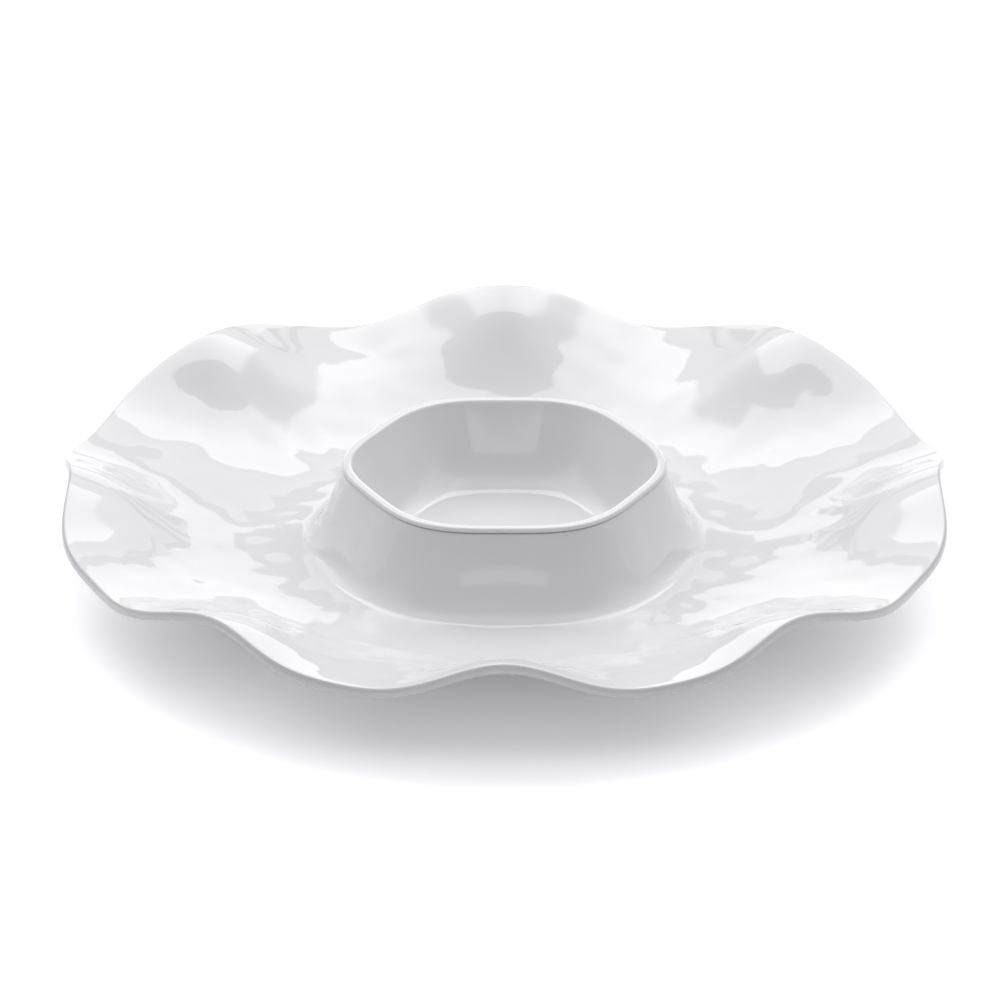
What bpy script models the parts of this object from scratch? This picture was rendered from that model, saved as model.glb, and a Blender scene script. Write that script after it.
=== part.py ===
"""Chip and dip server: a ruffled round tray with a hollow collar, and a dip bowl that lifts out of it.

Metres, +Z up. The origin is on the table, under the middle of the server.
"""
import math

import bmesh
import bpy
from mathutils import Vector

# The tray's rim rises and falls in lobes. They stand higher behind than in front, the ones in front and
# behind are fuller, and the shifts say how far they stray from even spacing.
RIM_RADIUS = 0.2032
RIM_HEIGHT = 0.0409
LOBES = 8
LOBE_LIFT = 0.0080
LOBE_LIFT_SHARP = 0.0011
LOBE_LIFT_BEHIND = 0.20
LOBE_BROADEN = 0.0031
LOBE_REACH = -0.0025
LOBE_REACH_SHARP = -0.0019
LOBE_REACH_DIAGONAL = 0.0021
LOBE_SHIFT = math.radians(3.2)
LOBE_SHIFT_FINE = math.radians(1.3)
LOBE_SHIFT_FORWARD = math.radians(5.0)

# The tray's walls
TRAY_WALL = 0.0042
COLLAR_WALL = 0.0021
FULL_WALL_AT = 0.35
EDGE_BULGE = 0.0012
EDGE_FULLNESS = 0.6

# The ring that the tray stands on
FOOT_INNER = 0.1130
FOOT_OUTER = 0.1200

# The collar and the bowl are softly six-sided
CORNERS = 6
CORNER_SWELL = 0.026

# The dip bowl. Its lip's top is a few radii and heights.
LIP_INNER = 0.0688
LIP_TOP = ((0.0693, 0.0475), (0.0722, 0.0478), (0.0732, 0.0470))
SKIRT_HEIGHT = 0.0456
SKIRT_OUTER = 0.0732
SEAT_INNER = 0.0702
BOWL_WALL = 0.0031
SEAT_GAP = 0.0004

# The tray's top, from the collar's edge out to the rim: radius, height, how much of the rim's lobes
# and how much of the collar's corners each control point takes.
TRAY_TOP = (
    (0.0728, SKIRT_HEIGHT - SEAT_GAP, 0.0, 1.0),
    (0.0741, 0.0405, 0.0, 1.0),
    (0.0785, 0.0287, 0.0, 0.9),
    (0.0846, 0.0160, 0.0, 0.7),
    (0.0902, 0.0087, 0.0, 0.4),
    (0.0970, 0.0080, 0.0, 0.1),
    (0.1080, 0.0080, 0.0, 0.0),
    (0.1200, 0.0089, 0.0, 0.0),
    (0.1330, 0.0124, 0.03, 0.0),
    (0.1470, 0.0180, 0.12, 0.0),
    (0.1620, 0.0249, 0.35, 0.0),
    (0.1776, 0.0325, 0.81, 0.0),
    (0.1918, 0.0378, 0.97, 0.0),
    (RIM_RADIUS, RIM_HEIGHT, 1.0, 0.0),
)

# The bowl's inside, from under its lip down to the middle of its floor: radius, height, corner share.
BOWL_INSIDE = (
    (LIP_INNER, 0.0458, 1.0),
    (0.0672, 0.0420, 1.0),
    (0.0628, 0.0325, 0.9),
    (0.0566, 0.0180, 0.8),
    (0.0480, 0.0085, 0.7),
    (0.0330, 0.0085, 0.5),
    (0.0200, 0.0085, 0.3),
)

# Mesh fineness
TRAY_STEPS = 96
TRAY_TOP_STEPS = 22
UNDER_FLANGE = (1.0, 0.95, 0.90, 0.83, 0.76, 0.68, 0.60)
UNDER_CHANNEL = (0.46, 0.40, 0.34, 0.29, 0.25, 0.20, 0.12)
BOWL_STEPS = 72
BOWL_INSIDE_STEPS = 9
BOWL_OUTSIDE = (0.35, 0.48, 0.60, 0.72, 0.84, 1.0)
EDGE_STEPS = 4
SLOPE_STEP = 0.002

WHITE = (0.86, 0.86, 0.88, 1.0)
GLOSS_ROUGHNESS = 0.12
SHARP_ANGLE = math.radians(50.0)


def clear_scene():
    for item in list(bpy.data.objects):
        bpy.data.objects.remove(item, do_unlink=True)


def spline_point(controls, position):
    """The point at a position from 0 to 1 along a cubic B-spline that meets its first and last controls."""
    spans = len(controls) - 3
    knots = [0.0] * 3 + [i / spans for i in range(spans + 1)] + [1.0] * 3
    span = min(int(position * spans), spans - 1) + 3
    row = [Vector(controls[span - 3 + i]) for i in range(4)]
    for level in (1, 2, 3):
        for i in range(3, level - 1, -1):
            start = knots[span - 3 + i]
            end = knots[span + 1 + i - level]
            row[i] = row[i - 1].lerp(row[i], (position - start) / (end - start))
    return row[3]


def spline_normal(controls, position):
    """The unit normal, on the left of the direction of travel."""
    before = spline_point(controls, max(position - SLOPE_STEP, 0.0))
    after = spline_point(controls, min(position + SLOPE_STEP, 1.0))
    along = (after - before).normalized()
    return Vector((-along.y, along.x))


def corner_scale(angle, share):
    """How far the soft corners push a radius out at this angle."""
    return 1.0 + CORNER_SWELL * share * math.cos(CORNERS * angle)


def tray_controls(angle):
    """The control points of the tray's top in the upright plane at this angle."""
    turn = angle - math.pi / 2
    shift = LOBE_SHIFT * math.sin(2 * turn) + LOBE_SHIFT_FINE * math.sin(4 * turn)
    phase = LOBES * (turn + shift - LOBE_SHIFT_FORWARD * math.sin(turn))
    lift = LOBE_LIFT * (1 + LOBE_LIFT_BEHIND * math.cos(turn)) * math.cos(phase)
    lift += LOBE_LIFT_SHARP * math.cos(2 * phase)
    lift += LOBE_BROADEN * (max(math.cos(2 * turn), 0.0) * math.sin(phase)) ** 2
    reach = LOBE_REACH * math.cos(phase) + LOBE_REACH_SHARP * math.cos(2 * phase)
    reach += LOBE_REACH_DIAGONAL * math.sin(2 * turn) ** 2
    controls = []
    for radius, height, lobe_share, corner_share in TRAY_TOP:
        across = (radius + reach * lobe_share) * corner_scale(angle, corner_share)
        controls.append((across, height + lift * lobe_share))
    return controls


def wall_at(position):
    """The tray's wall thickness: thin at the collar's top edge, full from the channel outwards."""
    share = min(position / FULL_WALL_AT, 1.0)
    return COLLAR_WALL + (TRAY_WALL - COLLAR_WALL) * share * share * (3.0 - 2.0 * share)


def edge_round(top, normal, thickness, bulge):
    """The rounded edge that joins a wall's top to its underside."""
    outward = Vector((normal.y, -normal.x))
    middle = top - normal * (thickness / 2)
    points = []
    for i in range(1, EDGE_STEPS):
        turn = math.pi * (0.5 - i / EDGE_STEPS)
        points.append(middle + outward * (bulge * math.cos(turn) ** EDGE_FULLNESS)
                      + normal * (thickness / 2 * math.sin(turn)))
    return points


def tray_section(angle):
    """The closed outline of the tray's wall in the upright plane at this angle."""
    controls = tray_controls(angle)

    def top(position):
        return spline_point(controls, position)

    def under(position):
        return top(position) - spline_normal(controls, position) * wall_at(position)

    upper = [top(i / TRAY_TOP_STEPS) for i in range(TRAY_TOP_STEPS + 1)]
    edge = edge_round(upper[-1], spline_normal(controls, 1.0), TRAY_WALL, EDGE_BULGE)
    flange = [under(position) for position in UNDER_FLANGE]
    channel = [under(position) for position in UNDER_CHANNEL]
    foot = [Vector((FOOT_OUTER, 0.0)), Vector((FOOT_INNER, 0.0))]
    collar_top = Vector((controls[0][0] - COLLAR_WALL, controls[0][1]))
    return upper + edge + flange + foot + channel + [collar_top]


def bowl_section(angle):
    """The bowl's outline in the upright plane at this angle, from its floor over the lip to its base."""
    controls = [(radius * corner_scale(angle, share), height) for radius, height, share in BOWL_INSIDE]
    steps = range(BOWL_INSIDE_STEPS + 1)
    inside = [spline_point(controls, 1.0 - i / BOWL_INSIDE_STEPS) for i in steps]
    scale = corner_scale(angle, 1.0)
    lip = [Vector((radius * scale, height)) for radius, height in LIP_TOP]
    seat = [Vector((SKIRT_OUTER * scale, SKIRT_HEIGHT)), Vector((SEAT_INNER * scale, SKIRT_HEIGHT))]
    outside = [spline_point(controls, position) + spline_normal(controls, position) * BOWL_WALL
               for position in BOWL_OUTSIDE]
    return inside + lip + seat + outside


def make_object(name, mesh):
    """Closes the shading, gives the piece its glossy white and puts it in the scene."""
    material = bpy.data.materials.new(name)
    material.use_nodes = True
    shader = material.node_tree.nodes["Principled BSDF"]
    shader.inputs["Base Color"].default_value = WHITE
    shader.inputs["Roughness"].default_value = GLOSS_ROUGHNESS
    shader.inputs["Metallic"].default_value = 0.0
    mesh.materials.append(material)
    mesh.shade_smooth()
    mesh.set_sharp_from_angle(angle=SHARP_ANGLE)
    piece = bpy.data.objects.new(name, mesh)
    bpy.context.collection.objects.link(piece)
    return piece


def swept_rows(surface, section_at, steps):
    """One row of vertices for each upright section round the axis."""
    rows = []
    for i in range(steps):
        angle = 2 * math.pi * i / steps
        rows.append([surface.verts.new((point.x * math.cos(angle), point.x * math.sin(angle), point.y))
                     for point in section_at(angle)])
    return rows


def join_rows(surface, rows, closed):
    """Quads between neighbouring sections, and between each section's end and start if it is closed."""
    count = len(rows[0])
    for i, row in enumerate(rows):
        following = rows[(i + 1) % len(rows)]
        for j in range(count if closed else count - 1):
            k = (j + 1) % count
            surface.faces.new((row[j], following[j], following[k], row[k]))


def finish_surface(surface, name):
    """Turns every face outwards and hands the surface over as a mesh."""
    bmesh.ops.recalc_face_normals(surface, faces=surface.faces)
    mesh = bpy.data.meshes.new(name)
    surface.to_mesh(mesh)
    surface.free()
    return mesh


def make_tray():
    """The ruffled tray: its middle is open under the bowl, and a ring under the channel carries it."""
    surface = bmesh.new()
    rows = swept_rows(surface, tray_section, TRAY_STEPS)
    join_rows(surface, rows, closed=True)
    return make_object("tray", finish_surface(surface, "tray"))


def make_dip_bowl():
    """The bowl: its lip lies on the collar's edge, and its base hangs just clear of the table."""
    surface = bmesh.new()
    rows = swept_rows(surface, bowl_section, BOWL_STEPS)
    join_rows(surface, rows, closed=False)
    surface.faces.new([row[0] for row in rows])
    surface.faces.new([row[-1] for row in rows])
    return make_object("dip_bowl", finish_surface(surface, "dip_bowl"))


clear_scene()
make_tray()
make_dip_bowl()
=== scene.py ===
"""Looks for the chip and dip server: fine glossy mouldings on a pale floor, in soft studio light."""
import math

import bpy
import numpy as np
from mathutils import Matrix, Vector, noise


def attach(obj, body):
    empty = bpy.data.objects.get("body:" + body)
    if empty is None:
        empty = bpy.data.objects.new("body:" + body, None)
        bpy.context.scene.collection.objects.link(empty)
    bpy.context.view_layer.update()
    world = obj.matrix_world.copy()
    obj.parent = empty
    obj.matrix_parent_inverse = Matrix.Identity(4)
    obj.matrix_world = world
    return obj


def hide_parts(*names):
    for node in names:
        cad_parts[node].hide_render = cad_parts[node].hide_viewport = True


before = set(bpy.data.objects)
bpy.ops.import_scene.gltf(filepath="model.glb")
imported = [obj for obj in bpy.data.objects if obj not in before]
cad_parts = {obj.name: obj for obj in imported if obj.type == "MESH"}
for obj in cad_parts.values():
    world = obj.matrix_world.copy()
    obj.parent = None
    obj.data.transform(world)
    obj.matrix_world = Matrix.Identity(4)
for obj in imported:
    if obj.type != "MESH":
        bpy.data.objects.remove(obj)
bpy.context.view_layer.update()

# The tray's rim and its lobes. The numbers are the design's own, in metres.
RIM_RADIUS = 0.2032
RIM_HEIGHT = 0.0409
LOBES = 8
LOBE_LIFT = 0.0080
LOBE_LIFT_SHARP = 0.0011
LOBE_LIFT_BEHIND = 0.20
LOBE_BROADEN = 0.0031
LOBE_REACH = -0.0025
LOBE_REACH_SHARP = -0.0019
LOBE_REACH_DIAGONAL = 0.0021
LOBE_SHIFT = math.radians(3.2)
LOBE_SHIFT_FINE = math.radians(1.3)
LOBE_SHIFT_FORWARD = math.radians(5.0)

# The tray's walls and edges
TRAY_WALL = 0.0042
COLLAR_WALL = 0.0021
FULL_WALL_AT = 0.35
EDGE_BULGE = 0.0012
EDGE_FULLNESS = 0.6
EDGE_EASE = 0.0003

# The ring that the tray stands on
FOOT_INNER = 0.1130
FOOT_OUTER = 0.1200
FOOT_ROUND = 0.0009

# The bowl's section
CORNERS = 6
CORNER_SWELL = 0.026
SKIRT_HEIGHT = 0.0456
SKIRT_ROUND = 0.0002
SEAT_INNER = 0.0702
SEAT_GAP = 0.0004
BOWL_WALL = 0.0031

# The tray's top from the collar's edge to the rim: radius, height, share of the lobes and of the corners
TRAY_TOP = (
    (0.0728, SKIRT_HEIGHT - SEAT_GAP, 0.0, 1.0),
    (0.0741, 0.0405, 0.0, 1.0),
    (0.0785, 0.0287, 0.0, 0.9),
    (0.0846, 0.0160, 0.0, 0.7),
    (0.0902, 0.0087, 0.0, 0.4),
    (0.0970, 0.0080, 0.0, 0.1),
    (0.1080, 0.0080, 0.0, 0.0),
    (0.1200, 0.0089, 0.0, 0.0),
    (0.1330, 0.0124, 0.03, 0.0),
    (0.1470, 0.0180, 0.12, 0.0),
    (0.1620, 0.0249, 0.35, 0.0),
    (0.1776, 0.0325, 0.81, 0.0),
    (0.1918, 0.0378, 0.97, 0.0),
    (RIM_RADIUS, RIM_HEIGHT, 1.0, 0.0),
)

# The bowl's top from the middle of its floor, up the inside, over the lip and down the skirt
BOWL_TOP = (
    (0.0000, 0.0085, 0.0, 0.0),
    (0.0120, 0.0085, 0.0, 0.1),
    (0.0240, 0.0085, 0.0, 0.3),
    (0.0360, 0.0085, 0.0, 0.5),
    (0.0485, 0.0088, 0.0, 0.7),
    (0.0566, 0.0180, 0.0, 0.8),
    (0.0628, 0.0325, 0.0, 0.9),
    (0.0668, 0.0420, 0.0, 1.0),
    (0.0685, 0.0464, 0.0, 1.0),
    (0.0690, 0.0477, 0.0, 1.0),
    (0.0706, 0.0480, 0.0, 1.0),
    (0.0722, 0.0480, 0.0, 1.0),
    (0.0732, 0.0474, 0.0, 1.0),
    (0.0732, SKIRT_HEIGHT + SKIRT_ROUND, 0.0, 1.0),
)

# Where along the top's curve each stretch of the underside starts and ends
FLANGE_SPAN = (1.0, 0.56)
CHANNEL_SPAN = (0.47, 0.03)
BOWL_UNDER_SPAN = (0.46, 0.0)

# How finely the mouldings are meshed
ROUND_STEPS = 384
TRAY_TOP_POINTS = 110
TRAY_UNDER_POINTS = 40
BOWL_TOP_POINTS = 110
BOWL_UNDER_POINTS = 40
EDGE_POINTS = 10
ARC_POINTS = 5
SLOPE_STEP = 0.0005

# How grey the mouldings are made, from 0 to 1: painted shade along the tray's rim edge and under its
# flange, wear on the foot ring, and a little greying along the bowl's lip
FOOT_WEAR = 0.6
LIP_GREYING = 0.15
LIP_START = 0.8
FLANGE_SHADE_POWER = 3

# The tray's unevenness: it fades in from the channel's inner edge, and out again towards the rim
WAVE_HEIGHT = 0.0008
WAVE_LENGTH = 0.032
WAVE_START = 0.088
WAVE_START_FADE = 0.015
WAVE_RIM_FADE = 0.02
FINE_WAVE_SHARE = 0.5
FINE_WAVE_RATE = 2.3

# The glossy white. Noise scales are per metre.
TRAY_WHITE = (0.575, 0.573, 0.579, 1.0)
# The bowl's white is the tray's white made lighter: painted light that brightens the shaded well
BOWL_WHITE_PAINTED_LIGHTER = (0.61, 0.607, 0.616, 1.0)
# The grey that points are mixed towards: painted shade on the tray's rim edge and flange underside, wear on
# the foot ring, slight greying at the bowl's lip
SHADE_AND_WEAR_GREY = (0.38, 0.38, 0.39, 1.0)
GLOSS_IOR = 1.56
MOTTLE_SHADE = 0.985
MOTTLE_SCALE = 28.0
MOTTLE_DETAIL = 3.0
MOTTLE_RANGE = (0.35, 0.65)
ROUGH_SCALE = 60.0
ROUGH_DETAIL = 4.0
ROUGH_RANGE = (0.3, 0.7)
ROUGHNESS = (0.025, 0.05)
WORN_ROUGHNESS = 0.2
GRAIN_SCALE = 240.0
GRAIN_DETAIL = 2.0
GRAIN_HEIGHT = 0.00002

# The floor glows a little, so that it is as pale as the room
FLOOR_REACH = 9.0
FLOOR_WHITE = (0.96, 0.955, 0.975, 1.0)
FLOOR_TINT = (1.0, 0.99, 1.02, 1.0)
FLOOR_GLOW = 0.14
FLOOR_ROUGHNESS = 0.9

# The room is dimmer in front than behind. The span is where, along Y, it is fully one or the other.
FRONT_GLOW = 0.45
BACK_GLOW = 0.57
GLOW_SPAN = (-0.3, 0.5)
GLOW_TINT = (0.995, 0.985, 1.03, 1.0)

# The panels: compass angle, height angle, half width and half height in degrees, then the softness of
# the sides, foot and top, and the radiance
BACK_PANELS = (
    (90.0, 60.0, 26.0, 17.2, 0.05, 0.012, 0.010, 2.5),
    (90.0, 41.0, 46.0, 12.0, 0.12, 0.006, 0.15, 0.95),
    (90.0, 13.5, 17.0, 9.0, 0.005, 0.005, 0.005, 1.25),
    (90.0, 2.5, 45.0, 2.5, 0.006, 0.006, 0.006, 0.3),
)
SIDE_PANELS = tuple((compass, 48.0, 34.0, 26.0, 0.28, 0.28, 0.28, 1.35) for compass in (14.0, 166.0))
SLAT_LIGHTS = ((6.0, 0.4), (12.0, 0.6), (18.0, 0.8), (24.0, 0.8))
SLATS = tuple((compass, height, 14.0, 1.6, 0.003, 0.003, 0.003, radiance)
              for compass in (58.0, 122.0) for height, radiance in SLAT_LIGHTS)
FRONT_PANELS = (
    (-90.0, 70.0, 30.0, 15.0, 0.2, 0.2, 0.2, 0.9),
    (-90.0, 21.5, 13.0, 3.0, 0.02, 0.02, 0.02, 1.2),
)
PANELS = BACK_PANELS + SIDE_PANELS + SLATS + FRONT_PANELS
LEAST_DEPTH = 0.001

# Camera: where the eye is, seen from the rim's middle, and how the picture is framed
EYE_MIDDLE_HEIGHT = 0.0406
EYE_DISTANCE = 1.827
EYE_RAISE = math.radians(25.6)
LENS = 142.07
SENSOR = 36.0
SIGHT_LIMIT = 100.0
AIM_RIGHT = -0.0044
AIM_DOWN = 0.0254


def spline_weights(count, positions):
    """Weights of a cubic B-spline's control points, for positions from 0 to 1 along it."""
    spans = count - 3
    knots = [0.0] * 3 + [i / spans for i in range(spans + 1)] + [1.0] * 3
    weights = np.zeros((len(positions), count))
    for k, position in enumerate(positions):
        span = min(int(position * spans), spans - 1) + 3
        row = np.eye(count)[span - 3:span + 1]
        for level in (1, 2, 3):
            for i in range(3, level - 1, -1):
                start = knots[span - 3 + i]
                end = knots[span + 1 + i - level]
                share = (position - start) / (end - start)
                row[i] = row[i - 1] * (1 - share) + row[i] * share
        weights[k] = row[3]
    return weights


def curve(controls, positions):
    """Points and left-hand unit normals along each angle's section curve."""
    count = controls.shape[1]
    points = spline_weights(count, positions) @ controls
    before = spline_weights(count, np.maximum(positions - SLOPE_STEP, 0.0)) @ controls
    after = spline_weights(count, np.minimum(positions + SLOPE_STEP, 1.0)) @ controls
    along = after - before
    along /= np.linalg.norm(along, axis=-1, keepdims=True)
    return points, np.stack((-along[..., 1], along[..., 0]), -1)


def section_controls(table, angles):
    """The section's control points at each angle, with the lobes and the soft corners in them."""
    radius, height, lobe_share, corner_share = np.array(table).T
    turn = angles - math.pi / 2
    shift = LOBE_SHIFT * np.sin(2 * turn) + LOBE_SHIFT_FINE * np.sin(4 * turn)
    phase = LOBES * (turn + shift - LOBE_SHIFT_FORWARD * np.sin(turn))
    lift = LOBE_LIFT * (1 + LOBE_LIFT_BEHIND * np.cos(turn)) * np.cos(phase)
    lift += LOBE_LIFT_SHARP * np.cos(2 * phase)
    lift += LOBE_BROADEN * (np.maximum(np.cos(2 * turn), 0.0) * np.sin(phase)) ** 2
    reach = LOBE_REACH * np.cos(phase) + LOBE_REACH_SHARP * np.cos(2 * phase)
    reach += LOBE_REACH_DIAGONAL * np.sin(2 * turn) ** 2
    swell = 1.0 + CORNER_SWELL * corner_share * np.cos(CORNERS * angles)[:, None]
    wide = radius + reach[:, None] * lobe_share
    return np.stack((wide * swell, height + lift[:, None] * lobe_share), -1)


def edge_round(top, normal, thickness, bulge):
    """A rounded edge from a wall's top to its underside."""
    outward = np.stack((normal[:, 1], -normal[:, 0]), -1)
    middle = top - normal * thickness / 2
    rows = []
    for i in range(1, EDGE_POINTS):
        turn = math.pi * (0.5 - i / EDGE_POINTS)
        rows.append(middle + outward * bulge * math.cos(turn) ** EDGE_FULLNESS
                    + normal * thickness / 2 * math.sin(turn))
    return np.stack(rows, 1)


def same_all_round(points, count):
    """The same points in the section at every angle."""
    return np.repeat(np.array(points)[None], count, axis=0)


def arc(middle, radius, start, end, count=ARC_POINTS):
    """Points on a circular arc in the section's plane; angles in degrees."""
    turns = np.radians(np.linspace(start, end, count))
    return [(middle[0] + radius * math.cos(turn), middle[1] + radius * math.sin(turn)) for turn in turns]


def wall_at(positions):
    """The tray's wall thickness: thin at the collar's top edge, full from the channel outwards."""
    share = np.minimum(positions / FULL_WALL_AT, 1.0)
    return (COLLAR_WALL + (TRAY_WALL - COLLAR_WALL) * share ** 2 * (3 - 2 * share))[None, :, None]


def make_wavy(points, angles):
    """A moulding is never quite even: the channel's and the flange's tops waver by under a millimetre."""
    for angle, row in zip(angles, points):
        for point in row:
            share = min(max((point[0] - WAVE_START) / WAVE_START_FADE, 0.0), 1.0)
            share *= min(max((RIM_RADIUS - point[0]) / WAVE_RIM_FADE, 0.0), 1.0)
            if share > 0.0:
                where = Vector((math.cos(angle), math.sin(angle), 0.0)) * (point[0] / WAVE_LENGTH)
                fine = FINE_WAVE_SHARE * noise.noise(where * FINE_WAVE_RATE)
                point[1] += WAVE_HEIGHT * share * (noise.noise(where) + fine)


def tray_sections(angles):
    """The closed outline of the tray's wall at each angle."""
    controls = section_controls(TRAY_TOP, angles)
    top, top_normal = curve(controls, np.linspace(0.0, 1.0, TRAY_TOP_POINTS))
    edge = edge_round(top[:, -1], top_normal[:, -1], TRAY_WALL, EDGE_BULGE)
    make_wavy(top, angles)

    def under(span):
        positions = np.linspace(*span, TRAY_UNDER_POINTS)
        points, normal = curve(controls, positions)
        return points - normal * wall_at(positions)

    foot = arc((FOOT_OUTER - FOOT_ROUND, FOOT_ROUND), FOOT_ROUND, 0, -90)
    foot += arc((FOOT_INNER + FOOT_ROUND, FOOT_ROUND), FOOT_ROUND, -90, -180)
    foot = same_all_round(foot, len(angles))
    inner_top = controls[:, :1] - (COLLAR_WALL - EDGE_EASE, EDGE_EASE)
    outer_top = controls[:, :1] - (EDGE_EASE, 0.0)
    parts = (top, edge, under(FLANGE_SPAN), foot, under(CHANNEL_SPAN), inner_top, outer_top)
    return np.concatenate(parts, 1)


def tray_shade_and_wear():
    """How grey each point of the tray's outline is made: fully at the rim's edge and fading along the
    flange's underside, which is painted shade, and partly on the foot ring, which is wear.
    """
    top = np.zeros(TRAY_TOP_POINTS)
    # The rim's edge and the flange's underside get painted shade; the foot ring gets wear
    edge = np.ones(EDGE_POINTS - 1)
    flange = np.linspace(1.0, 0.0, TRAY_UNDER_POINTS) ** FLANGE_SHADE_POWER
    foot = np.full(2 * ARC_POINTS, FOOT_WEAR)
    return np.concatenate((top, edge, flange, foot, np.zeros(TRAY_UNDER_POINTS + 2)))


def bowl_sections(angles):
    """Outlines of the bowl's wall from the middle of its floor, over the lip, to the middle of its base."""
    controls = section_controls(BOWL_TOP, angles)
    top, _ = curve(controls, np.linspace(0.0, 1.0, BOWL_TOP_POINTS))
    inside, normal = curve(controls, np.linspace(*BOWL_UNDER_SPAN, BOWL_UNDER_POINTS))
    under = inside - normal * BOWL_WALL
    under[:, -1, 0] = 0.0
    swell = 1.0 + CORNER_SWELL * np.cos(CORNERS * angles)
    skirt = np.stack((top[:, -1, 0] - EDGE_EASE, np.full(len(angles), SKIRT_HEIGHT)), -1)
    seat = np.stack((SEAT_INNER * swell, np.full(len(angles), SKIRT_HEIGHT)), -1)
    return np.concatenate((top, skirt[:, None], seat[:, None], under), 1)


def bowl_greying():
    """How grey and dull each point of the bowl's outline is made: a little, along its lip."""
    along = np.linspace(0.0, 1.0, BOWL_TOP_POINTS)
    lip = LIP_GREYING * np.clip((along - LIP_START) / (1.0 - LIP_START), 0.0, 1.0)
    return np.concatenate((lip, np.zeros(BOWL_UNDER_POINTS + 2)))


def swept_mesh(name, sections, angles, shade_and_wear, closed):
    """Turns one outline per angle into a smooth mesh; an open outline starts and ends on the axis."""
    rounds, count = sections.shape[:2]
    places = np.empty((rounds, count, 3))
    places[..., 0] = sections[..., 0] * np.cos(angles)[:, None]
    places[..., 1] = sections[..., 0] * np.sin(angles)[:, None]
    places[..., 2] = sections[..., 1]
    if closed:
        verts = places.reshape(-1, 3)
        shade_and_wear_values = np.tile(shade_and_wear, rounds)
        faces = [(i * count + j, i * count + (j + 1) % count,
                  (i + 1) % rounds * count + (j + 1) % count, (i + 1) % rounds * count + j)
                 for i in range(rounds) for j in range(count)]
    else:
        inner = count - 2
        verts = np.concatenate((places[:, 1:-1].reshape(-1, 3), places[0, :1], places[0, -1:]))
        shade_and_wear_values = np.append(np.tile(shade_and_wear[1:-1], rounds), (shade_and_wear[0], shade_and_wear[-1]))
        start, end = rounds * inner, rounds * inner + 1
        faces = []
        for i in range(rounds):
            row, following = i * inner, (i + 1) % rounds * inner
            faces.append((start, row, following))
            faces.append((end, following + inner - 1, row + inner - 1))
            faces += [(row + j, row + j + 1, following + j + 1, following + j) for j in range(inner - 1)]
    mesh = bpy.data.meshes.new(name)
    mesh.from_pydata(verts.tolist(), [], faces)
    # Per-point grey share: painted shade on the tray's rim edge and flange underside, wear on its foot
    # ring, slight greying at the bowl's lip
    mesh.attributes.new("shade_and_wear", "FLOAT", "POINT").data.foreach_set("value", shade_and_wear_values)
    mesh.shade_smooth()
    return mesh


def math_node(tree, operation, *values):
    """A math node fed with sockets or plain numbers."""
    node = tree.nodes.new("ShaderNodeMath")
    node.operation = operation
    for socket, value in zip(node.inputs, values):
        if isinstance(value, (int, float)):
            socket.default_value = value
        else:
            tree.links.new(value, socket)
    return node.outputs[0]


def noise_node(tree, place, scale, detail):
    """Noise fixed to the piece."""
    node = tree.nodes.new("ShaderNodeTexNoise")
    node.inputs["Scale"].default_value = scale
    node.inputs["Detail"].default_value = detail
    tree.links.new(place.outputs["Object"], node.inputs["Vector"])
    return node.outputs["Fac"]


def mapped(tree, value, source, target):
    """The value, taken from the source range to the target range."""
    node = tree.nodes.new("ShaderNodeMapRange")
    node.inputs["From Min"].default_value, node.inputs["From Max"].default_value = source
    node.inputs["To Min"].default_value, node.inputs["To Max"].default_value = target
    tree.links.new(value, node.inputs["Value"])
    return node.outputs["Result"]


def faded(tree, value, full, none):
    """One where value reaches full, nothing where it reaches none, with a soft step between."""
    node = tree.nodes.new("ShaderNodeMapRange")
    node.interpolation_type = "SMOOTHSTEP"
    node.inputs["From Min"].default_value = none
    node.inputs["From Max"].default_value = full
    tree.links.new(value, node.inputs["Value"])
    return node.outputs["Result"]


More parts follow.
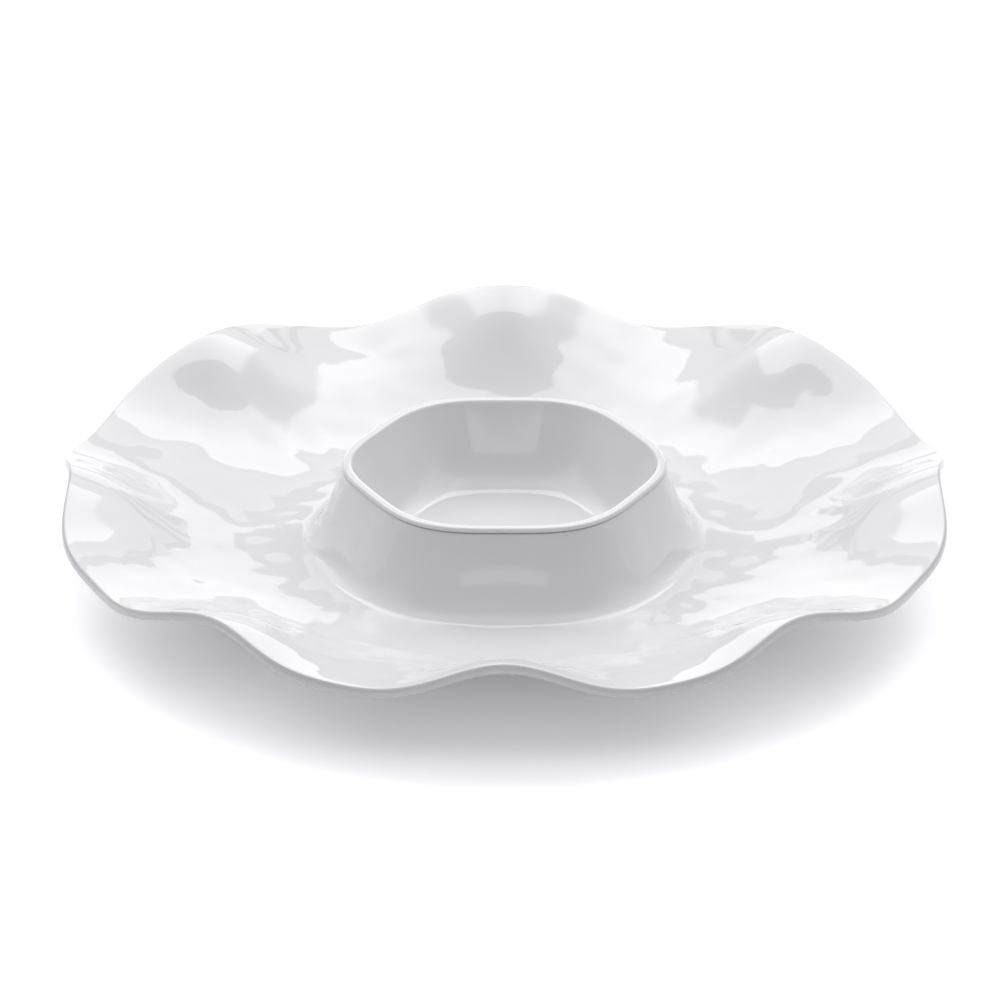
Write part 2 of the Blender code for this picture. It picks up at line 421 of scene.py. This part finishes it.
def gloss_material(name, colour):
    """Glossy white: a trace of mottle, uneven gloss and grain, and greyer and duller where the attribute is
    high: painted shade on the tray's rim edge and flange underside, wear on the foot ring, slight greying
    at the bowl's lip.
    """
    material = bpy.data.materials.new(name)
    material.use_nodes = True
    tree = material.node_tree
    links = tree.links
    shader = tree.nodes["Principled BSDF"]
    shader.inputs["IOR"].default_value = GLOSS_IOR
    place = tree.nodes.new("ShaderNodeTexCoord")
    mottle = tree.nodes.new("ShaderNodeMix")
    mottle.data_type = "RGBA"
    mottle.inputs["A"].default_value = colour
    mottle.inputs["B"].default_value = [part * MOTTLE_SHADE for part in colour[:3]] + [1.0]
    patches = noise_node(tree, place, MOTTLE_SCALE, MOTTLE_DETAIL)
    links.new(mapped(tree, patches, MOTTLE_RANGE, (0.0, 1.0)), mottle.inputs["Factor"])
    shade_and_wear = tree.nodes.new("ShaderNodeAttribute")
    shade_and_wear.attribute_name = "shade_and_wear"
    # Mixes the colour towards grey: painted shade at the tray's rim edge and under its flange, wear on the
    # foot ring
    shaded_and_worn = tree.nodes.new("ShaderNodeMix")
    shaded_and_worn.data_type = "RGBA"
    links.new(shade_and_wear.outputs["Fac"], shaded_and_worn.inputs["Factor"])
    links.new(mottle.outputs["Result"], shaded_and_worn.inputs["A"])
    shaded_and_worn.inputs["B"].default_value = SHADE_AND_WEAR_GREY
    links.new(shaded_and_worn.outputs["Result"], shader.inputs["Base Color"])
    gloss = mapped(tree, noise_node(tree, place, ROUGH_SCALE, ROUGH_DETAIL), ROUGH_RANGE, ROUGHNESS)
    dulled = math_node(tree, "MULTIPLY_ADD", shade_and_wear.outputs["Fac"], WORN_ROUGHNESS, gloss)
    links.new(dulled, shader.inputs["Roughness"])
    grain = tree.nodes.new("ShaderNodeBump")
    grain.inputs["Strength"].default_value = 1.0
    grain.inputs["Distance"].default_value = GRAIN_HEIGHT
    links.new(noise_node(tree, place, GRAIN_SCALE, GRAIN_DETAIL), grain.inputs["Height"])
    links.new(grain.outputs["Normal"], shader.inputs["Normal"])
    return material


def add_piece(mesh, material, body):
    """Puts a mesh in the scene as a piece that moves with its body."""
    piece = bpy.data.objects.new(mesh.name, mesh)
    bpy.context.collection.objects.link(piece)
    mesh.materials.append(material)
    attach(piece, body)
    return piece


def make_tray():
    """The ruffled tray with its collar and foot ring."""
    angles = np.linspace(0.0, 2 * math.pi, ROUND_STEPS, endpoint=False)
    mesh = swept_mesh("tray_shell", tray_sections(angles), angles, tray_shade_and_wear(), closed=True)
    piece = add_piece(mesh, gloss_material("tray_gloss", TRAY_WHITE), "tray")
    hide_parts("tray")


def make_bowl():
    """The dip bowl, which hangs by its lip in the collar."""
    angles = np.linspace(0.0, 2 * math.pi, ROUND_STEPS, endpoint=False)
    mesh = swept_mesh("dip_bowl_shell", bowl_sections(angles), angles, bowl_greying(), closed=False)
    # The bowl's lighter white is painted light in the well
    piece = add_piece(mesh, gloss_material("bowl_gloss", BOWL_WHITE_PAINTED_LIGHTER), "dip_bowl")
    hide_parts("dip_bowl")


def make_floor():
    """A wide pale matt floor."""
    reach = FLOOR_REACH
    mesh = bpy.data.meshes.new("floor")
    mesh.from_pydata([(-reach, -reach, 0), (reach, -reach, 0), (reach, reach, 0), (-reach, reach, 0)],
                     [], [(0, 1, 2, 3)])
    floor = bpy.data.objects.new("floor", mesh)
    bpy.context.collection.objects.link(floor)
    material = bpy.data.materials.new("floor")
    material.use_nodes = True
    shader = material.node_tree.nodes["Principled BSDF"]
    shader.inputs["Base Color"].default_value = FLOOR_WHITE
    shader.inputs["Emission Color"].default_value = FLOOR_TINT
    shader.inputs["Emission Strength"].default_value = FLOOR_GLOW
    shader.inputs["Roughness"].default_value = FLOOR_ROUGHNESS
    shader.inputs["Specular IOR Level"].default_value = 0.0
    mesh.materials.append(material)


def panel(tree, direction, compass, height, half_width, half_height,
          side_soft, foot_soft, top_soft, radiance):
    """The light of a flat far panel. Its place and halves are in degrees, its softness in tangents."""
    turn = math.radians(compass)
    rise = math.radians(height)
    ahead = Vector((math.cos(turn) * math.cos(rise), math.sin(turn) * math.cos(rise), math.sin(rise)))
    side = Vector((-math.sin(turn), math.cos(turn), 0.0))
    above = ahead.cross(side)

    def along(axis):
        node = tree.nodes.new("ShaderNodeVectorMath")
        node.operation = "DOT_PRODUCT"
        node.inputs[1].default_value = axis
        tree.links.new(direction, node.inputs[0])
        return node.outputs["Value"]

    depth = math_node(tree, "MAXIMUM", along(ahead), LEAST_DEPTH)
    wide = math.tan(math.radians(half_width))
    high = math.tan(math.radians(half_height))
    across = math_node(tree, "ABSOLUTE", math_node(tree, "DIVIDE", along(side), depth))
    upward = math_node(tree, "DIVIDE", along(above), depth)
    light = math_node(tree, "MULTIPLY", faded(tree, across, wide - side_soft, wide + side_soft), radiance)
    light = math_node(tree, "MULTIPLY", faded(tree, upward, foot_soft - high, -foot_soft - high), light)
    light = math_node(tree, "MULTIPLY", faded(tree, upward, high - top_soft, high + top_soft), light)
    return light


def light_studio():
    """A white room: dimmer in front, lighter behind, with soft panels all round the server."""
    world = bpy.data.worlds.new("studio")
    world.use_nodes = True
    tree = world.node_tree
    place = tree.nodes.new("ShaderNodeTexCoord")
    direction = place.outputs["Generated"]
    parts = tree.nodes.new("ShaderNodeSeparateXYZ")
    tree.links.new(direction, parts.inputs["Vector"])
    none, full = GLOW_SPAN
    behind = faded(tree, parts.outputs["Y"], full, none)
    glow = math_node(tree, "MULTIPLY_ADD", behind, BACK_GLOW - FRONT_GLOW, FRONT_GLOW)
    panels = 0.0
    for each in PANELS:
        panels = math_node(tree, "ADD", panels, panel(tree, direction, *each))
    room = tree.nodes["Background"]
    room.inputs["Color"].default_value = GLOW_TINT
    tree.links.new(glow, room.inputs["Strength"])
    lamps = tree.nodes.new("ShaderNodeBackground")
    tree.links.new(panels, lamps.inputs["Strength"])
    both = tree.nodes.new("ShaderNodeAddShader")
    tree.links.new(room.outputs["Background"], both.inputs[0])
    tree.links.new(lamps.outputs["Background"], both.inputs[1])
    tree.links.new(both.outputs["Shader"], tree.nodes["World Output"].inputs["Surface"])
    bpy.context.scene.world = world


def make_camera():
    """A long lens looking down at the server from the front."""
    middle = Vector((0.0, 0.0, EYE_MIDDLE_HEIGHT))
    back = Vector((0.0, -math.cos(EYE_RAISE), math.sin(EYE_RAISE)))
    up = Vector((0.0, math.sin(EYE_RAISE), math.cos(EYE_RAISE)))
    data = bpy.data.cameras.new("camera")
    data.lens = LENS
    data.sensor_width = SENSOR
    data.clip_end = SIGHT_LIMIT
    camera = bpy.data.objects.new("camera", data)
    camera.location = middle + back * EYE_DISTANCE
    frame_width = EYE_DISTANCE * SENSOR / LENS
    sight = -back * EYE_DISTANCE
    sight += Vector((1.0, 0.0, 0.0)) * AIM_RIGHT * frame_width - up * AIM_DOWN * frame_width
    camera.rotation_euler = sight.to_track_quat("-Z", "Y").to_euler()
    bpy.context.collection.objects.link(camera)
    bpy.context.scene.camera = camera


make_tray()
make_bowl()
make_floor()
light_studio()
make_camera()
bpy.context.scene.view_settings.view_transform = "Standard"
